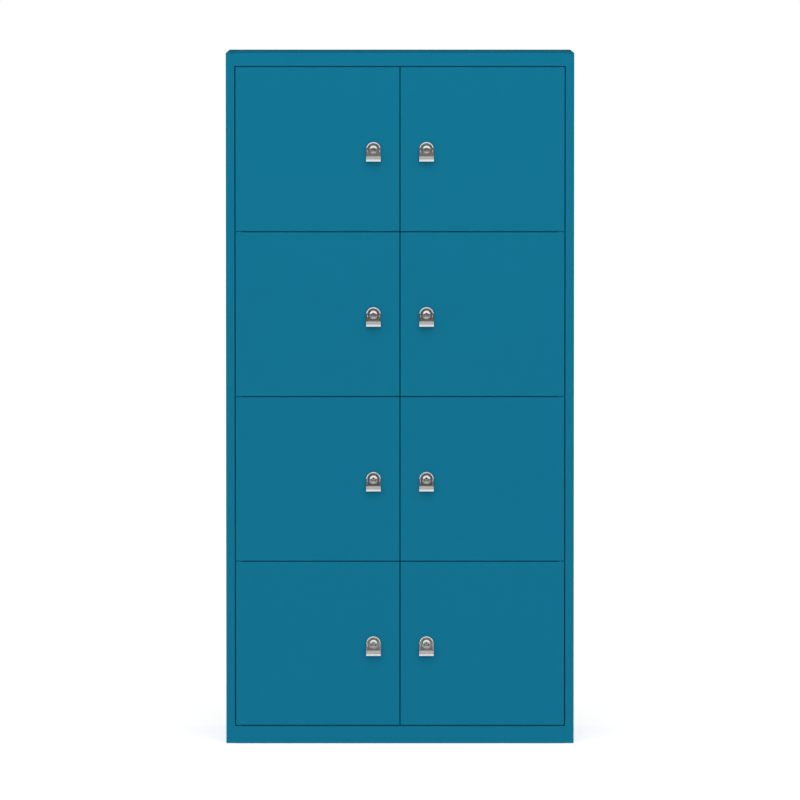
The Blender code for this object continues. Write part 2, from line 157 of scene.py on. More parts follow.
THREAD_START = 0.0160
THREAD_PITCH = 0.0010
SHAFT_BORE = 0.0067
HEAD_BORE_OUT = 0.0010
BORE_LEAD = 0.0003

# Lock plug
HEAD_RADIUS = 0.0090
HEAD_BACK = 0.0012
HEAD_OUT = 0.0050
HEAD_ROUND = 0.0004
DISH_RADIUS = 0.0084
DISH_FLOOR_RADIUS = 0.0034
DISH_DEPTH = 0.0026
DISH_START_SLOPE = 0.45  # share of the dish's mean slope at its floor
DOME_RISE = 0.0006  # middle of the dish's floor
DOME_STEPS = 5
DISH_STEPS = 8
SHAFT_RADIUS = 0.0065
SHAFT_END = 0.0227
TAIL_HALF = 0.0040
TAIL_END = 0.0255
TAIL_EDGE = 0.0003
KEYWAY = (0.0018, 0.0068)  # wide, high
KEYWAY_DEPTH = 0.006
KEYWAY_LEAD = 0.0003

# Fasteners behind a door
NUT_RADIUS = 0.0150
NUT_FRONT = 0.0181
NUT_BACK = 0.0221
NUT_CHAMFER = 0.0007
WASHER_RADIUS = 0.0062
WASHER_BACK = 0.0263
SCREW_RADIUS = 0.0045
SCREW_BACK = 0.0288
SCREW_ROUND = 0.0010
CROSS = (0.0011, 0.0056)  # width and length of a slot
CROSS_DEPTH = 0.0014

# Pins and joints of the frame
UPRIGHT_WIDTH = 0.020
BEAD_HALF = 0.0016  # ground weld between a rail and an upright
BEAD_OUT = 0.00008
BEAD_SINK = 0.0006
BEAD_STEPS = 8
SPACER_RADIUS = 0.0040
SPACER_BORE = 0.0032
SPACER_PLAY = 0.00025
SPACER_ROUND = 0.0003

# Rubber buffers on the centre stile
BUFFER_RADIUS = 0.0045
BUFFER_HEIGHT = 0.0012
BUFFER_X = 0.0130
BUFFER_FROM_EDGE = 0.045

# Levelling feet
FOOT_PAD = 0.006  # top of the pad
FOOT_COLLAR = 0.011  # top of the collar
FOOT_GROOVE = 0.0008
FOOT_ROUND = 0.0012
COLLAR_RADIUS = 0.0078
COLLAR_EDGE = 0.0004
STUD_RADIUS = 0.0040
STUD_ROOT = 0.0034
STUD_PITCH = 0.00125

# Mesh making
TURN_STEPS = 64
SMALL_TURN_STEPS = 32
HEXAGON = 6
ROUND_STEPS = 6
ROUND_MIDDLE = 0.3  # middle of a turned corner, as a share of its radius
ROUND_PROFILE = 0.5  # a bevel's circular section
EDGE_STEPS = 2  # faces across a softened edge
OVERRUN = 0.010  # cutters run this far past what they cut
SMOOTH_ANGLE = math.radians(38)
NORMAL_WEIGHT = 100  # large faces decide the shading
WELD = 1e-6

# Light
AMBIENT = 0.33
FRONT_LIGHT = 1.28
BACKGROUND = 1.0
FLOOR_GLOW = 0.60
FLOOR_SIZE = 200.0
LAMP_PLACE = (0.0, -1.9, 4.1)
LAMP_TARGET = (0.0, -0.23, 0.9)
LAMP_SIZE = (2.4, 1.2)
LAMP_POWER = 32.0

# Cards that only reflections show
WALL_TINT = (1.0, 0.96, 0.93)
CEILING_TINT = (1.0, 0.985, 0.97)
NEAR_TINT = (0.94, 1.0, 1.01)
CARD_RADIUS = 24.0
CARD_STEPS = 48
FRONT_CARD = ((0.0, 0.05), (0.7, 0.24), (2.5, 0.13), (14.0, 0.16), (24.0, 0.25))  # height, brightness
REAR_CARD = ((0.0, 0.0), (9.0, 0.01), (16.0, 0.08), (24.0, 0.20))  # height, brightness
CEILING_CARD = 0.52
CEILING_SPAN = (-22.0, 6.0)  # darker in front of this and behind it
FLOOR_CARD = 0.08
FLOOR_LIFT = 0.002  # floor cards above the floor
NEAR_CARD = 1.10  # pale ellipse of floor round the cabinet
NEAR_REACH = (8.0, 3.0)
NEAR_HOLE = 0.002  # left open in its middle
STRIP_CARD = 0.88  # greyer strip of the ellipse, straight ahead
STRIP_HALF = 0.15
STRIP_START = 0.83
STRIP_LIFT = 0.004
KERB_CARD = 0.15  # low dark ring on the ellipse
KERB_RADIUS = 2.2
KERB_HEIGHT = 0.12
FENCE_CARD = 0.20  # low dark boards in front of the cabinet
FENCE_HALF = 1.0
FENCES = {"low": (0.455, 0.09), "mid": (0.905, 0.13)}  # distance ahead, height
SIDE_CARD = 0.35
SIDE_X = 16.0
SIDE_SPAN = (-9.0, 0.0)
SIDE_RISE = (2.0, 12.0)

# Camera
CAMERA_DISTANCE = 20.0  # from the front frame
CAMERA_HEIGHT = 1.9422
CAMERA_TILT = math.radians(3.2885)
LENS = 392.2
SENSOR = 36.0

scene = bpy.context.scene
joints = {joint["name"]: joint for joint in frame["joints"]}


def joint_place(name):
    """A point on a joint's axis."""
    return Vector(joints[name]["pos_m"])


def new_material(name):
    """A material with its node tree and its Principled shader."""
    material = bpy.data.materials.new(name + FINISH)
    material.use_nodes = True
    tree = material.node_tree
    return material, tree, tree.nodes["Principled BSDF"]


def coordinates(tree, stretch=(1, 1, 1)):
    """The object's own coordinates, scaled along each axis."""
    source = tree.nodes.new("ShaderNodeTexCoord")
    mapping = tree.nodes.new("ShaderNodeMapping")
    mapping.inputs["Scale"].default_value = stretch
    tree.links.new(source.outputs["Object"], mapping.inputs["Vector"])
    return mapping.outputs["Vector"]


def noise(tree, scale, octaves, stretch=(1, 1, 1)):
    """Noise with features of about 1 / scale metres."""
    texture = tree.nodes.new("ShaderNodeTexNoise")
    texture.inputs["Scale"].default_value = scale
    texture.inputs["Detail"].default_value = octaves
    tree.links.new(coordinates(tree, stretch), texture.inputs["Vector"])
    return texture.outputs["Fac"]


def spangle(tree, scale):
    """Patches of even tone, as crystals of plating."""
    texture = tree.nodes.new("ShaderNodeTexVoronoi")
    texture.inputs["Scale"].default_value = scale
    tree.links.new(coordinates(tree), texture.inputs["Vector"])
    split = tree.nodes.new("ShaderNodeSeparateColor")
    tree.links.new(texture.outputs["Color"], split.inputs["Color"])
    return split.outputs["Red"]


def tint(tree, shader, factor, dark, light):
    """Base colour between two tones."""
    mix = tree.nodes.new("ShaderNodeMix")
    mix.data_type = "RGBA"
    mix.inputs["A"].default_value = (*dark, 1)
    mix.inputs["B"].default_value = (*light, 1)
    tree.links.new(factor, mix.inputs["Factor"])
    tree.links.new(mix.outputs["Result"], shader.inputs["Base Color"])


def gloss(tree, shader, factor, roughness):
    """Roughness between two values."""
    spread = tree.nodes.new("ShaderNodeMapRange")
    spread.inputs["From Min"].default_value = NOISE_SPREAD[0]
    spread.inputs["From Max"].default_value = NOISE_SPREAD[1]
    spread.inputs["To Min"].default_value = roughness[0]
    spread.inputs["To Max"].default_value = roughness[1]
    tree.links.new(factor, spread.inputs["Value"])
    tree.links.new(spread.outputs["Result"], shader.inputs["Roughness"])


def relief(tree, shader, height, size):
    """Fine bump of a strength and a depth."""
    bump = tree.nodes.new("ShaderNodeBump")
    bump.inputs["Strength"].default_value = size[0]
    bump.inputs["Distance"].default_value = size[1]
    tree.links.new(height, bump.inputs["Height"])
    tree.links.new(bump.outputs["Normal"], shader.inputs["Normal"])


def powder_coat():
    """Satin paint with a faint drift of tone and an orange-peel skin."""
    material, tree, shader = new_material("blue_powder_coat")
    tint(tree, shader, noise(tree, PAINT_DRIFT, MANY_OCTAVES), PAINT_DARK, PAINT_LIGHT)
    gloss(tree, shader, noise(tree, PAINT_SHEEN, SOME_OCTAVES), PAINT_ROUGHNESS)
    relief(tree, shader, noise(tree, PAINT_PEEL, FEW_OCTAVES), PAINT_BUMP)
    shader.inputs["Specular IOR Level"].default_value = PAINT_SPECULAR
    return material


def bright_nickel():
    """Polished plating with faint buffing lines."""
    material, tree, shader = new_material("bright_nickel")
    tint(tree, shader, noise(tree, NICKEL_CLOUD, SOME_OCTAVES), NICKEL_DARK, NICKEL_LIGHT)
    lines = noise(tree, NICKEL_LINES, SOME_OCTAVES, NICKEL_LINE_STRETCH)
    gloss(tree, shader, lines, NICKEL_ROUGHNESS)
    relief(tree, shader, noise(tree, NICKEL_RIPPLE, FEW_OCTAVES), NICKEL_BUMP)
    shader.inputs["Metallic"].default_value = 1
    return material


def zinc_plate():
    """Dull plating with a spangle."""
    material, tree, shader = new_material("zinc_plate")
    tint(tree, shader, spangle(tree, ZINC_SPANGLE), ZINC_DARK, ZINC_LIGHT)
    gloss(tree, shader, noise(tree, ZINC_CLOUD, SOME_OCTAVES), ZINC_ROUGHNESS)
    relief(tree, shader, noise(tree, ZINC_GRAIN, FEW_OCTAVES), ZINC_BUMP)
    shader.inputs["Metallic"].default_value = ZINC_METALLIC
    return material


def black_nylon():
    """Moulded plastic with a fine grain."""
    material, tree, shader = new_material("black_nylon")
    tint(tree, shader, noise(tree, NYLON_CLOUD, SOME_OCTAVES), NYLON_DARK, NYLON_LIGHT)
    gloss(tree, shader, noise(tree, NYLON_SHEEN, FEW_OCTAVES), NYLON_ROUGHNESS)
    relief(tree, shader, noise(tree, NYLON_GRAIN, FEW_OCTAVES), NYLON_BUMP)
    shader.inputs["Specular IOR Level"].default_value = NYLON_SPECULAR
    return material


def mesh_of(bm):
    """The mesh of a finished bmesh, its faces pointing out."""
    bmesh.ops.recalc_face_normals(bm, faces=bm.faces)
    mesh = bpy.data.meshes.new("piece")
    bm.to_mesh(mesh)
    bm.free()
    return mesh


def loft(loops, endless=False):
    """A closed skin through loops of equally many points, capped at its ends or joined end to end."""
    bm = bmesh.new()
    rings = [[bm.verts.new(point) for point in loop] for loop in loops]
    pairs = list(zip(rings, rings[1:]))
    if endless:
        pairs.append((rings[-1], rings[0]))
    else:
        bm.faces.new(rings[0])
        bm.faces.new(rings[-1])
    for near, far in pairs:
        for index in range(len(near)):
            after = (index + 1) % len(near)
            bm.faces.new((near[index], near[after], far[after], far[index]))
    return mesh_of(bm)


def circle(radius, steps=TURN_STEPS):
    """Points round a circle in a plane."""
    turns = [2 * math.pi * index / steps for index in range(steps)]
    return [(radius * math.cos(turn), radius * math.sin(turn)) for turn in turns]


def turned(profile, steps=TURN_STEPS):
    """A turned solid about the lock's axis, from (radius, out) points."""
    return loft([[(x, -out, z) for x, z in circle(radius, steps)] for radius, out in profile])


def upright(profile, steps=TURN_STEPS, endless=False):
    """A turned solid about the vertical axis, from (radius, height) points."""
    loops = [[(x, y, height) for x, y in circle(radius, steps)] for radius, height in profile]
    return loft(loops, endless)


def shoulder(radius, end, inward, by):
    """Points round a turned corner, from its end face to its side."""
    bend = by * ROUND_MIDDLE
    return [(radius - by, end), (radius - bend, end + inward * bend), (radius, end + inward * by)]


def across(outline, low, high):
    """A solid with an outline of (out, up) points, from low to high along X."""
    return loft([[(x, -out, up) for out, up in outline] for x in (low, high)])


def block(half_x, half_z, near, far):
    """A box about the lock's axis between two distances out."""
    corners = ((half_x, half_z), (-half_x, half_z), (-half_x, -half_z), (half_x, -half_z))
    return loft([[(x, -out, z) for x, z in corners] for out in (near, far)])


def rounded(corners):
    """An outline from (out, up, radius) corners, each with its radius drawn in."""
    points = []
    for index, (out, up, radius) in enumerate(corners):
        corner = Vector((out, up))
        if not radius:
            points.append((out, up))
            continue
        before = (Vector(corners[index - 1][:2]) - corner).normalized()
        after = (Vector(corners[(index + 1) % len(corners)][:2]) - corner).normalized()
        half = before.angle(after) / 2
        centre = corner + (before + after).normalized() * radius / math.sin(half)
        start = corner + before * radius / math.tan(half) - centre
        turn = start.angle_signed(corner + after * radius / math.tan(half) - centre)
        for step in range(ROUND_STEPS + 1):
            spoke = Matrix.Rotation(-turn * step / ROUND_STEPS, 2) @ start
            points.append(tuple(centre + spoke))
    return points


def bevelled(bm, edges, width, steps):
    """Rounds edges of a bmesh."""
    bmesh.ops.bevel(
        bm,
        geom=edges,
        offset=width,
        segments=steps,
        profile=ROUND_PROFILE,
        affect="EDGES",
        clamp_overlap=True,
    )


def softened(mesh, width):
    """The mesh with its sharp edges rounded."""
    bm = bmesh.new()
    bm.from_mesh(mesh)
    sharp = [edge for edge in bm.edges if edge.calc_face_angle(0) > SMOOTH_ANGLE]
    bevelled(bm, sharp, width, EDGE_STEPS)
    return mesh_of(bm)


def combined(base, add=(), cut=()):
    """base with each mesh of add joined on and each mesh of cut taken away."""
    host = bpy.data.objects.new("host", base)
    scene.collection.objects.link(host)
    tools = []
    for operation, meshes in (("UNION", add), ("DIFFERENCE", cut)):
        for mesh in meshes:
            tool = bpy.data.objects.new("tool", mesh)
            scene.collection.objects.link(tool)
            tools.append(tool)
            step = host.modifiers.new("step", "BOOLEAN")
            step.operation = operation
            step.object = tool
    bm = bmesh.new()
    bm.from_object(host, bpy.context.evaluated_depsgraph_get())
    for obj in (host, *tools):
        bpy.data.objects.remove(obj)
    bmesh.ops.remove_doubles(bm, verts=bm.verts, dist=WELD)
    bmesh.ops.dissolve_degenerate(bm, edges=bm.edges, dist=WELD)
    return mesh_of(bm)


def finish_mesh(mesh, material):
    """Gives a mesh its material and smooth shading with crisp corners."""
    mesh.materials.clear()
    mesh.materials.append(material)
    mesh.shade_smooth()
    mesh.set_sharp_from_angle(angle=SMOOTH_ANGLE)
    return mesh


def even_normals(obj):
    """Keeps flat faces flat in shading up to their rounded edges."""
    modifier = obj.modifiers.new("even_normals", "WEIGHTED_NORMAL")
    modifier.weight = NORMAL_WEIGHT
    modifier.keep_sharp = True


def place(name, mesh, body, location=(0, 0, 0), node=None):
    """Puts a piece in the scene, riding on its body, in its node's place if it has one."""
    piece = bpy.data.objects.new(name, mesh)
    scene.collection.objects.link(piece)
    piece.location = location
    even_normals(piece)
    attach(piece, body)
    if node:
        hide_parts(node)


def arch(radius, drop):
    """Outline with a round top about the lock's axis and straight sides down to drop."""
    turns = [math.pi * step / ARCH_STEPS for step in range(ARCH_STEPS + 1)]
    top = [(radius * math.cos(turn), radius * math.sin(turn)) for turn in turns]
    return [*top, (-radius, -drop), (radius, -drop)]


def rim_plate(half):
    """Arched plate with a raised rim round a lower field."""
    loops = []
    for inset, out in RIM_STEPS:
        outline = arch(half - inset, PLATE_DROP - inset)
        loops.append([(x, -out, z) for x, z in outline])
    return loft(loops)


def finger_pull(half, drop):
    """Pull below the plug: a ledge, a nose and a lip turned under."""
    back = FIELD_OUT - PULL_SINK
    root = [(PULL_SINK, PULL_TOP, 0), (back, PULL_TOP, 0), (back, LEDGE[1], PULL_ROOT)]
    outline = rounded([*root, LEDGE, NOSE, (LIP_OUT, -drop, LIP_EDGE), (PULL_SINK, -drop, 0)])
    edge = half - PULL_SINK
    return softened(across(outline, -edge, edge), PULL_EDGE)


def finger_room(half, drop):
    """Hollow behind the pull, open below."""
    back = FIELD_OUT + PULL_SINK
    front = LIP_OUT - LIP_WALL
    outline = rounded(
        [
            (front, -drop, 0),
            (NOSE[0] - LIP_WALL, NOSE[1], ROOF_ROUND),
            (LEDGE[0] - LIP_WALL, ROOF_UP, ROOF_ROUND),
            (back, ROOF_UP, ROOF_ROUND),
            (back, -drop - OVERRUN, 0),
            (front, -drop - OVERRUN, 0),
        ]
    )
    return across(outline, PULL_WALL - half, half - PULL_WALL)


def plug_ring():
    """Raised ring round the plug's head."""
    return turned(
        [
            (RING_FOOT, RING_ROOT),
            (RING_FOOT, FIELD_OUT),
            *reversed(shoulder(RING_SHOULDER, RING_OUT, -1, RING_ROUND)),
        ]
    )


def lock_barrel():
    """Barrel through the door, threaded at its end."""
    profile = [(BARREL_ROOT, FIELD_OUT), (BARREL_ROOT, -THREAD_START)]
    turns = int((BARREL_END - THREAD_START) / THREAD_PITCH)
    for turn in range(turns):
        at = THREAD_START + turn * THREAD_PITCH
        profile.append((BARREL_RADIUS, -at - THREAD_PITCH / 2))
        profile.append((BARREL_ROOT, -at - THREAD_PITCH))
    profile.append((BARREL_ROOT, -BARREL_END))
    return turned(profile)


def plug_rooms():
    """Bores for the plug's head and its shaft."""
    head = turned(
        [
            (RING_BORE, HEAD_BORE_OUT),
            (RING_BORE, RING_OUT - BORE_LEAD),
            (RING_BORE + BORE_LEAD, RING_OUT),
            (RING_BORE + BORE_LEAD, RING_OUT + OVERRUN),
        ]
    )
    shaft = turned([(SHAFT_BORE, -BARREL_END - OVERRUN), (SHAFT_BORE, RING_OUT)])
    return [head, shaft]


def lock_casting(half, drop):
    """Arched rimmed plate, hollow finger pull, ring and threaded barrel."""
    return combined(
        rim_plate(half),
        add=[finger_pull(half, drop), plug_ring(), lock_barrel()],
        cut=[finger_room(half, drop), *plug_rooms()],
    )


def dish_profile(floor):
    """Points over the plug's face, from near its middle to the dish's edge."""
    dish = []
    for step in range(1, DOME_STEPS):
        share = step / DOME_STEPS
        dish.append((DISH_FLOOR_RADIUS * share, floor + DOME_RISE * (1 - share * share)))
    for step in range(DISH_STEPS + 1):
        share = step / DISH_STEPS
        rise = DISH_START_SLOPE * share + (1 - DISH_START_SLOPE) * share * share
        radius = DISH_FLOOR_RADIUS + (DISH_RADIUS - DISH_FLOOR_RADIUS) * share
        dish.append((radius, floor + DISH_DEPTH * rise))
    return dish


def lock_plug():
    """Turning core: dished face with a keyway, shaft and square tail."""
    floor = HEAD_OUT - DISH_DEPTH
    body = turned(
        [
            *dish_profile(floor),
            *shoulder(HEAD_RADIUS, HEAD_OUT, -1, HEAD_ROUND),
            (HEAD_RADIUS, HEAD_BACK),
            (SHAFT_RADIUS, HEAD_BACK),
            (SHAFT_RADIUS, -SHAFT_END),
        ]
    )
    tail = softened(block(TAIL_HALF, TAIL_HALF, -SHAFT_END + TAIL_EDGE, -TAIL_END), TAIL_EDGE)
    half_x = KEYWAY[0] / 2
    half_z = KEYWAY[1] / 2
    slot = block(half_x, half_z, floor - KEYWAY_DEPTH, HEAD_OUT)
    mouth = block(half_x + KEYWAY_LEAD, half_z + KEYWAY_LEAD, floor - KEYWAY_LEAD, HEAD_OUT)
    return combined(body, add=[tail], cut=[slot, mouth])


def lock_nut():
    """Hexagon nut on the barrel, against the door's back."""
    body = turned(
        [
            (NUT_RADIUS - NUT_CHAMFER, -NUT_FRONT),
            (NUT_RADIUS, -NUT_FRONT - NUT_CHAMFER),
            (NUT_RADIUS, -NUT_BACK + NUT_CHAMFER),
            (NUT_RADIUS - NUT_CHAMFER, -NUT_BACK),
        ],
        HEXAGON,
    )
    hole = turned([(BARREL_RADIUS, -NUT_FRONT + OVERRUN), (BARREL_RADIUS, -NUT_BACK - OVERRUN)])
    return combined(body, cut=[hole])


def cam_screw():
    """Pan-head screw and washer that hold the cam on the plug's tail."""
    body = turned(
        [
            (WASHER_RADIUS, -TAIL_END),
            (WASHER_RADIUS, -WASHER_BACK),
            (SCREW_RADIUS, -WASHER_BACK),
            *reversed(shoulder(SCREW_RADIUS, -SCREW_BACK, 1, SCREW_ROUND)),
        ]
    )
    ends = (CROSS_DEPTH - SCREW_BACK, -SCREW_BACK - OVERRUN)
    slots = [block(CROSS[0] / 2, CROSS[1] / 2, *ends), block(CROSS[1] / 2, CROSS[0] / 2, *ends)]
    return combined(body, cut=slots)


def buffer():
    """Low rubber dome."""
    steps = [math.pi / 2 * step / ROUND_STEPS for step in range(ROUND_STEPS)]
    dome = [(BUFFER_RADIUS * math.cos(turn), BUFFER_HEIGHT * math.sin(turn)) for turn in steps]
    return turned(dome, SMALL_TURN_STEPS)


def foot_pad(radius):
    """Nylon pad with a grip groove and a hexagon collar."""
    middle = FOOT_PAD / 2
    pad = upright(
        [
            *shoulder(radius, 0, 1, FOOT_ROUND),
            (radius, middle - FOOT_GROOVE),
            (radius - FOOT_GROOVE, middle),
            (radius, middle + FOOT_GROOVE),
            *reversed(shoulder(radius, FOOT_PAD, -1, FOOT_ROUND)),
        ]
    )
    collar = upright([(COLLAR_RADIUS, middle), (COLLAR_RADIUS, FOOT_COLLAR)], HEXAGON)
    return combined(pad, add=[softened(collar, COLLAR_EDGE)])


def foot_stud(top):
    """Threaded stud above the pad."""
    profile = [(STUD_RADIUS, FOOT_COLLAR)]
    at = FOOT_COLLAR
    while at + STUD_PITCH < top:
        profile.append((STUD_ROOT, at + STUD_PITCH / 2))
        profile.append((STUD_RADIUS, at + STUD_PITCH))
        at += STUD_PITCH
    profile.append((STUD_ROOT, top))
    return upright(profile, SMALL_TURN_STEPS)


def door_pan(key):
    """Folded door with rounded edges and the seam of its inner skin, about the middle of its box."""
    low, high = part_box(f"door_panel_{key}")
    size = high - low
    middle = (low + high) / 2
    pivot = joint_place(f"door_{key}_hinge")
    lock = joint_place(f"lock_{key}_turn")
    bm = bmesh.new()
    bmesh.ops.create_cube(bm, size=1)
    bmesh.ops.scale(bm, vec=size, verts=bm.verts)
    bevelled(bm, bm.edges[:], DOOR_FOLD, DOOR_FOLD_STEPS)
    back = max(bm.faces, key=lambda face: face.normal.y * face.calc_area())
    for thickness, depth in ((SEAM_INSET, 0), (SEAM_WIDTH, -SEAM_DEPTH), (SEAM_WIDTH, SEAM_DEPTH)):
        bmesh.ops.inset_individual(bm, faces=[back], thickness=thickness, depth=depth)
    pan = mesh_of(bm)
    holes = []
    for end in (-1, 1):
        edge = end * size.z / 2
        hole = upright([(PIVOT_HOLE, edge - end * PIVOT_DEPTH), (PIVOT_HOLE, edge + end * OVERRUN)])
        hole.transform(Matrix.Translation((pivot.x - middle.x, pivot.y - middle.y, 0)))
        holes.append(hole)
    lock_hole = turned([(LOCK_HOLE, -size.y), (LOCK_HOLE, size.y)])
    lock_hole.transform(Matrix.Translation((lock.x - middle.x, 0, lock.z - middle.z)))
    return combined(pan, cut=[*holes, lock_hole])


def dress_carcass(paint, zinc):
    """Finishes and softened edges on the sheet pieces, pins and cams that keep their own shape."""
    for name, obj in frame["nodes"].items():
        if obj.hide_render:
            continue
        material = zinc if name.startswith(("hinge_pin", "lock_cam")) else paint
        obj.data.materials.clear()
        obj.data.materials.append(material)
        weld = obj.modifiers.new("weld", "WELD")
        weld.merge_threshold = WELD
        bevel = obj.modifiers.new("edges", "BEVEL")
        bevel.width = SHEET_EDGE
        bevel.segments = EDGE_STEPS
        bevel.limit_method = "ANGLE"
        bevel.angle_limit = SMOOTH_ANGLE
        bevel.use_clamp_overlap = True
        even_normals(obj)


def build_doors(paint, nickel, zinc):
    """Doors and their locks. A column's doors share one mesh, and so do all locks."""
    plug_mesh = finish_mesh(lock_plug(), nickel)
    nut_mesh = finish_mesh(lock_nut(), zinc)
    screw_mesh = finish_mesh(cam_screw(), zinc)
    low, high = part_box("lock_housing_left_1")
    drop = joint_place("lock_left_1_turn").z - low.z
    casting_mesh = finish_mesh(lock_casting((high.x - low.x) / 2, drop), nickel)
    for side in SIDES:
        pan_mesh = finish_mesh(door_pan(f"{side}_{ROWS[0]}"), paint)
        for row in ROWS:
            key = f"{side}_{row}"
            low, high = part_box(f"door_panel_{key}")
            lock = joint_place(f"lock_{key}_turn")
            place(f"door_{key}_pan", pan_mesh, f"door_{key}", (low + high) / 2, f"door_panel_{key}")
            place(f"lock_{key}_casting", casting_mesh, f"door_{key}", lock, f"lock_housing_{key}")
            place(f"lock_{key}_nut", nut_mesh, f"door_{key}", lock)
            place(f"lock_{key}_core", plug_mesh, f"lock_{key}", lock, f"lock_plug_{key}")
            place(f"lock_{key}_cam_screw", screw_mesh, f"lock_{key}", lock)


def build_feet(nylon, zinc):
    """Feet, all with the meshes of the first."""
    feet = [name for name in frame["nodes"] if name.startswith("levelling_foot")]
    low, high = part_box(feet[0])
    pad_mesh = finish_mesh(foot_pad((high.x - low.x) / 2), nylon)
    stud_mesh = finish_mesh(foot_stud(high.z), zinc)
    for node in feet:
        low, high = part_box(node)
        middle = ((low.x + high.x) / 2, (low.y + high.y) / 2, 0)
        place(f"{node}_pad", pad_mesh, "carcass", middle, node)
        place(f"{node}_stud", stud_mesh, "carcass", middle)


def build_buffers(nylon):
    """Two buffers behind each door."""
    mesh = finish_mesh(buffer(), nylon)
    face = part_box("centre_stile")[0].y
    for side, sign in SIDES.items():
        for row in ROWS:
            low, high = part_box(f"door_panel_{side}_{row}")
            ends = {"upper": high.z - BUFFER_FROM_EDGE, "lower": low.z + BUFFER_FROM_EDGE}
            for end, height in ends.items():
                name = f"door_buffer_{side}_{row}_{end}"
                place(name, mesh, "carcass", (sign * BUFFER_X, face, height))


def weld_bead(low, high, way):
    """Ground weld along Z, a shallow bow facing one way along Y."""
    shares = [step / BEAD_STEPS for step in range(BEAD_STEPS + 1)]
    bow = [(BEAD_HALF * (2 * share - 1), BEAD_OUT * math.sin(math.pi * share)) for share in shares]
    outline = [*bow, (BEAD_HALF, -BEAD_SINK), (-BEAD_HALF, -BEAD_SINK)]
    return loft([[(x, way * out, z) for x, out in outline] for z in (low, high)])


def pin_spacer(low, high):
    """Washer round a pin, between a door's edge and the frame."""
    profile = [
        (SPACER_BORE, low),
        (SPACER_RADIUS - SPACER_ROUND, low),
        (SPACER_RADIUS, low + SPACER_ROUND),
        (SPACER_RADIUS, high - SPACER_ROUND),
        (SPACER_RADIUS - SPACER_ROUND, high),
        (SPACER_BORE, high),
    ]
    return upright(profile, endless=True)


def build_frame_joints(paint, nylon):
    """Welds at the ends of the rails and rear flanges, and spacers on the end pins."""
    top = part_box("top_panel")
    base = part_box("base_panel")
    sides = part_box("left_side_panel")
    weld_x = cad_high.x - UPRIGHT_WIDTH
    faces = (("front", top[0].y, -1), ("rear", top[1].y - BEAD_OUT, 1))
    for panel, low, high in (("top", top[0].z, sides[1].z), ("base", sides[0].z, base[1].z)):
        for face, weld_y, way in faces:
            bead = finish_mesh(weld_bead(low, high, way), paint)
            for side, sign in SIDES.items():
                place(f"{panel}_{face}_weld_{side}", bead, "carcass", (sign * weld_x, weld_y, 0))
    upper = (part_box("door_panel_left_1")[1].z, top[0].z)
    lower = (base[1].z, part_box(f"door_panel_left_{ROWS[-1]}")[0].z)
    for end, row, gap in (("upper", ROWS[0], upper), ("lower", ROWS[-1], lower)):
        spacer = finish_mesh(pin_spacer(gap[0] + SPACER_PLAY, gap[1] - SPACER_PLAY), nylon)
        for side in SIDES:
            pivot = joint_place(f"door_{side}_{row}_hinge")
            place(f"pin_spacer_{side}_{end}", spacer, "carcass", (pivot.x, pivot.y, 0))


def math_node(tree, operation, first, second):
    """A Math node whose inputs are sockets or numbers."""
    node = tree.nodes.new("ShaderNodeMath")
    node.operation = operation
    for socket, value in zip(node.inputs, (first, second)):
        if isinstance(value, (int, float)):
            socket.default_value = value
        else:
            tree.links.new(value, socket)
    return node.outputs["Value"]


def seen_directly(tree):
    """1 for rays from the camera and from mirrors and glass, otherwise 0."""
    path = tree.nodes.new("ShaderNodeLightPath")
    mirrored = math_node(tree, "ADD", path.outputs["Is Glossy Ray"], path.outputs["Is Transmission Ray"])
    seen = math_node(tree, "ADD", path.outputs["Is Camera Ray"], mirrored)
    return math_node(tree, "MINIMUM", seen, 1.0)


def build_world():
    """White background, and soft light that is stronger from the front."""
    world = bpy.data.worlds.new("studio")
    scene.world = world
    world.use_nodes = True
    tree = world.node_tree
    background = tree.nodes["Background"]
    background.inputs["Color"].default_value = (1, 1, 1, 1)
    way = tree.nodes.new("ShaderNodeTexCoord")
    split = tree.nodes.new("ShaderNodeSeparateXYZ")
    tree.links.new(way.outputs["Generated"], split.inputs["Vector"])
    ahead = math_node(tree, "MAXIMUM", math_node(tree, "MULTIPLY", split.outputs["Y"], -1.0), 0.0)
    light = math_node(tree, "ADD", math_node(tree, "MULTIPLY", ahead, FRONT_LIGHT), AMBIENT)
    choose = tree.nodes.new("ShaderNodeMix")
    tree.links.new(seen_directly(tree), choose.inputs["Factor"])
    tree.links.new(light, choose.inputs["A"])
    choose.inputs["B"].default_value = BACKGROUND
    tree.links.new(choose.outputs["Result"], background.inputs["Strength"])
    world.cycles_visibility.glossy = False


def sheet(name, rows, material, endless=False):
    """A stage sheet through equal rows of points, each row open or endless."""
    bm = bmesh.new()
    lines = [[bm.verts.new(point) for point in row] for row in rows]
    for near, far in zip(lines, lines[1:]):
        for index in range(len(near) if endless else len(near) - 1):
            after = (index + 1) % len(near)
            bm.faces.new((near[index], near[after], far[after], far[index]))
    mesh = bpy.data.meshes.new(name)
    bm.to_mesh(mesh)
    bm.free()
    mesh.materials.append(material)
    obj = bpy.data.objects.new(name, mesh)
    scene.collection.objects.link(obj)
    return obj


def flat_rows(lines, height):
    """Rows along lines that lie at one height."""
    return [[(x, y, height) for x, y in line] for line in lines]


def upright_rows(line, heights):
    """Rows along one line, at each height."""
    return [[(x, y, height) for x, y in line] for height in heights]


def cross_lines(half, span):
    """Lines of a width along X, at each end of a span along Y."""
    return [[(-half, y), (half, y)] for y in span]


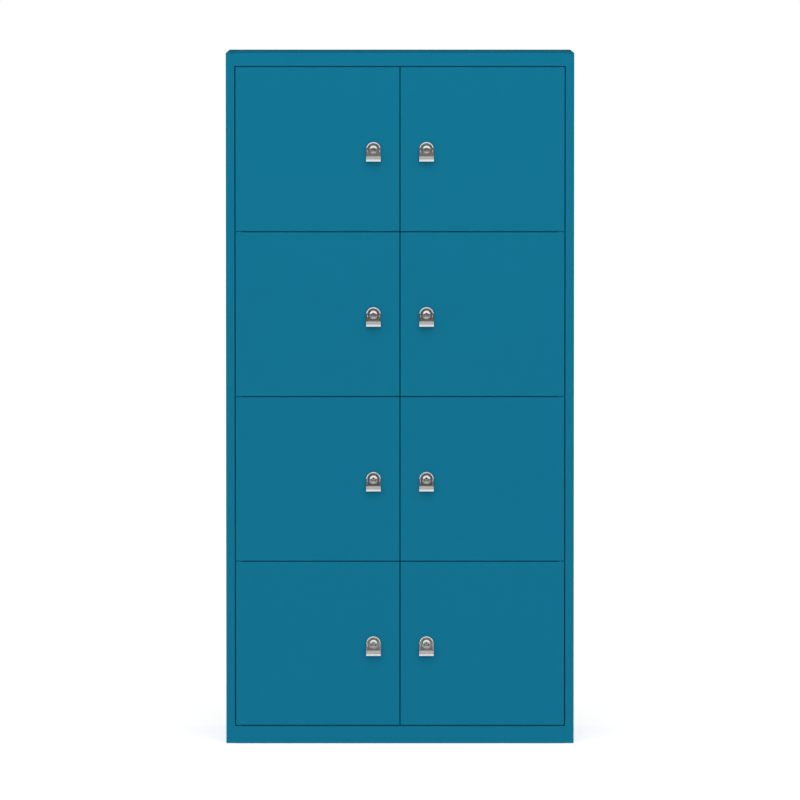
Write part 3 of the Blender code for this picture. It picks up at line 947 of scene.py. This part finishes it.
def build_floor():
    """Pale floor that takes the shadow and shows white elsewhere."""
    material, tree, shader = new_material("floor")
    tree.nodes.remove(shader)
    diffuse = tree.nodes.new("ShaderNodeBsdfDiffuse")
    diffuse.inputs["Color"].default_value = (*FLOOR_COLOUR, 1)
    glow = tree.nodes.new("ShaderNodeEmission")
    tree.links.new(math_node(tree, "MULTIPLY", seen_directly(tree), FLOOR_GLOW), glow.inputs["Strength"])
    both = tree.nodes.new("ShaderNodeAddShader")
    tree.links.new(diffuse.outputs["BSDF"], both.inputs[0])
    tree.links.new(glow.outputs["Emission"], both.inputs[1])
    tree.links.new(both.outputs["Shader"], tree.nodes["Material Output"].inputs["Surface"])
    half = FLOOR_SIZE / 2
    sheet("floor", flat_rows(cross_lines(half, (-half, half)), 0), material)


def card_material(name, stops, tone):
    """Glow that follows height through (height, brightness) stops."""
    material, tree, shader = new_material(name)
    tree.nodes.remove(shader)
    top = stops[-1][0]
    spot = tree.nodes.new("ShaderNodeNewGeometry")
    split = tree.nodes.new("ShaderNodeSeparateXYZ")
    tree.links.new(spot.outputs["Position"], split.inputs["Vector"])
    ramp = tree.nodes.new("ShaderNodeValToRGB")
    tree.links.new(math_node(tree, "DIVIDE", split.outputs["Z"], top), ramp.inputs["Fac"])
    elements = ramp.color_ramp.elements
    for stop, (height, level) in enumerate(stops):
        if stop < len(elements):
            element = elements[stop]
            element.position = height / top
        else:
            element = elements.new(height / top)
        element.color = (*[level * part for part in tone], 1)
    glow = tree.nodes.new("ShaderNodeEmission")
    tree.links.new(ramp.outputs["Color"], glow.inputs["Color"])
    tree.links.new(glow.outputs["Emission"], tree.nodes["Material Output"].inputs["Surface"])
    return material


def flat_glow(name, level, tone):
    """The same glow at every height."""
    return card_material(name, ((0.0, level), (1.0, level)), tone)


def card(name, rows, material, endless=False):
    """A sheet that is hidden from everything but reflections."""
    obj = sheet(name, rows, material, endless)
    obj.visible_camera = False
    obj.visible_diffuse = False
    obj.visible_shadow = False
    obj.visible_transmission = False
    obj.visible_volume_scatter = False


def build_walls():
    """Round wall, darker behind the cabinet."""
    for name, start, stops in (("front_card", math.pi, FRONT_CARD), ("rear_card", 0, REAR_CARD)):
        turns = [start + math.pi * step / CARD_STEPS for step in range(CARD_STEPS + 1)]
        line = [(CARD_RADIUS * math.cos(turn), CARD_RADIUS * math.sin(turn)) for turn in turns]
        rows = upright_rows(line, (0, stops[-1][0]))
        card(name, rows, card_material(name, stops, WALL_TINT))


def build_ground():
    """Dark floor with a pale ellipse, and what lies and stands on that."""
    near = [(NEAR_REACH[0] * x, NEAR_REACH[1] * y) for x, y in circle(1)]
    rings = (
        ("floor_card", FLOOR_CARD, WALL_TINT, (near, circle(CARD_RADIUS))),
        ("near_card", NEAR_CARD, NEAR_TINT, (circle(NEAR_HOLE), near)),
    )
    for name, level, tone, loops in rings:
        card(name, flat_rows(loops, FLOOR_LIFT), flat_glow(name, level, tone), endless=True)
    strip = cross_lines(STRIP_HALF, (-STRIP_START, -NEAR_REACH[1]))
    card("strip_card", flat_rows(strip, STRIP_LIFT), flat_glow("strip_card", STRIP_CARD, NEAR_TINT))
    kerb = upright_rows(circle(KERB_RADIUS), (0, KERB_HEIGHT))
    card("kerb_card", kerb, flat_glow("kerb_card", KERB_CARD, WALL_TINT), endless=True)
    dim = flat_glow("fence_card", FENCE_CARD, WALL_TINT)
    for name, (ahead, high) in FENCES.items():
        line = [(-FENCE_HALF, -ahead), (FENCE_HALF, -ahead)]
        card(f"{name}_card", upright_rows(line, (0, high)), dim)


def build_side_cards():
    """A pale board on each side."""
    glow = flat_glow("side_card", SIDE_CARD, CEILING_TINT)
    for side, sign in SIDES.items():
        line = [(sign * SIDE_X, y) for y in SIDE_SPAN]
        card(f"{side}_card", upright_rows(line, SIDE_RISE), glow)


def build_ceiling():
    """Pale ceiling between two darker ends."""
    top = FRONT_CARD[-1][0]
    spans = (
        ("front_ceiling", FRONT_CARD[-1][1], (-CARD_RADIUS, CEILING_SPAN[0])),
        ("ceiling", CEILING_CARD, CEILING_SPAN),
        ("rear_ceiling", REAR_CARD[-1][1], (CEILING_SPAN[1], CARD_RADIUS)),
    )
    for name, level, span in spans:
        rows = flat_rows(cross_lines(CARD_RADIUS, span), top)
        card(name, rows, flat_glow(name, level, CEILING_TINT))


def build_cards():
    """Grey surround that only reflections show: the metal needs something darker than the white room."""
    build_walls()
    build_ground()
    build_side_cards()
    build_ceiling()


def build_lamp():
    """Soft lamp above the front."""
    data = bpy.data.lights.new("softbox", "AREA")
    data.shape = "RECTANGLE"
    data.size, data.size_y = LAMP_SIZE
    data.energy = LAMP_POWER
    lamp = bpy.data.objects.new("softbox", data)
    scene.collection.objects.link(lamp)
    lamp.location = LAMP_PLACE
    lamp.rotation_euler = (Vector(LAMP_TARGET) - Vector(LAMP_PLACE)).to_track_quat("-Z", "Y").to_euler()
    lamp.visible_camera = False
    lamp.visible_glossy = False


def build_camera():
    """Long lens from far away, looking slightly down."""
    data = bpy.data.cameras.new("camera")
    data.lens = LENS
    data.sensor_width = SENSOR
    camera = bpy.data.objects.new("camera", data)
    scene.collection.objects.link(camera)
    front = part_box("top_panel")[0].y
    camera.location = (0, front - CAMERA_DISTANCE, CAMERA_HEIGHT)
    camera.rotation_euler = (math.pi / 2 - CAMERA_TILT, 0, 0)
    scene.camera = camera


paint_coat = powder_coat()
nickel_plate = bright_nickel()
zinc_coat = zinc_plate()
nylon = black_nylon()
build_doors(paint_coat, nickel_plate, zinc_coat)
build_feet(nylon, zinc_coat)
build_buffers(nylon)
build_frame_joints(paint_coat, nylon)
dress_carcass(paint_coat, zinc_coat)
build_world()
build_floor()
build_cards()
build_lamp()
build_camera()
scene.view_settings.view_transform = "Standard"
